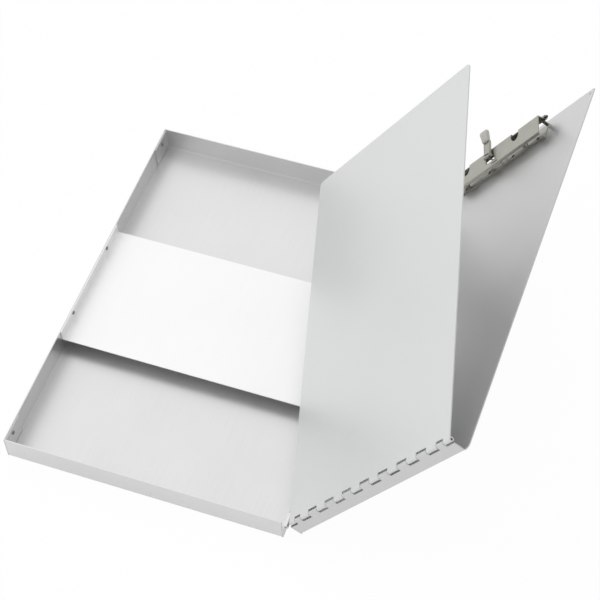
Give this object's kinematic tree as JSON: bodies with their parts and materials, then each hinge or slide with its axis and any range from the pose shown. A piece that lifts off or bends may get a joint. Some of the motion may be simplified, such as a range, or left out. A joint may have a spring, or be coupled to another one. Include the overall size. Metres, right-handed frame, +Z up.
{
  "type": "storage clipboard box",
  "caption": "Shallow aluminium document box: a tray with a riveted shelf, a side-hinged lid carrying a sprung lever clip, and a cover sheet hinged to the lid's bottom edge.",
  "frame": {"origin": "middle of the tray's flat underside, on the table", "axes": "+Z up, +Y from the tray's front wall to its back wall, +X from the plain side wall towards the lid's spine hinge"},
  "size_m": [0.3651, 0.3312, 0.2486],
  "materials": {
    "tray_sheet": "bare rolled sheet, satin",
    "shelf_sheet": "bare bright sheet, satin",
    "lid_sheet": "bare rolled sheet, satin",
    "cover_sheet": "bare rolled sheet, fine satin",
    "rivet": "dull, clinched",
    "hinge_rod": "drawn bright wire",
    "clip_steel": "nickel plated, softly polished",
    "clip_rod": "plain drawn wire",
    "spring_steel": "plain spring wire",
    "grip_plastic": "moulded, lightly glossy cream"
  },
  "bodies": {
    "tray": {"tray_shell": "tray_sheet", "corner_rivets_left": "rivet", "corner_rivets_right": "rivet", "storage_shelf": "shelf_sheet", "shelf_rivets_left": "rivet", "shelf_rivets_right": "rivet", "spine_hinge_rod": "hinge_rod"},
    "lid": {"lid_plate": "lid_sheet", "cover_hinge_rod": "hinge_rod", "clip_base_plate": "clip_steel", "clip_base_rivets": "rivet", "clip_rod": "clip_rod", "clip_spring_left": "spring_steel", "clip_spring_right": "spring_steel"},
    "cover": {"cover_panel": "cover_sheet"},
    "jaw": {"clip_jaw": "clip_steel", "lever_pin": "hinge_rod"},
    "lever": {"clip_lever": "clip_steel", "lever_grip": "grip_plastic"}
  },
  "joints": [
    {"name": "lid_hinge", "type": "hinge", "parent": "tray", "child": "lid", "pos_m": [0.1166, 0, 0.0175], "axis": [0, 1, 0], "range_deg": [-32.2, 56.8]},
    {"name": "cover_hinge", "type": "hinge", "parent": "lid", "child": "cover", "pos_m": [0.17763, -0.1621, 0.10902], "axis": [0.5476, 0, 0.8368], "range_deg": [-17, 163]},
    {"name": "jaw_hinge", "type": "hinge", "parent": "lid", "child": "jaw", "pos_m": [0.18173, 0.1563, 0.10873], "axis": [0.5476, 0, 0.8368], "range_deg": [0, 19]},
    {"name": "lever_pivot", "type": "hinge", "parent": "jaw", "child": "lever", "pos_m": [0.17655, 0.1463, 0.11212], "axis": [0.5476, 0, 0.8368], "range_deg": [0, 4.2]}
  ],
  "couplings": [
    {"joint": "lever_pivot", "follows": "jaw_hinge", "ratio": 0.216}
  ]
}
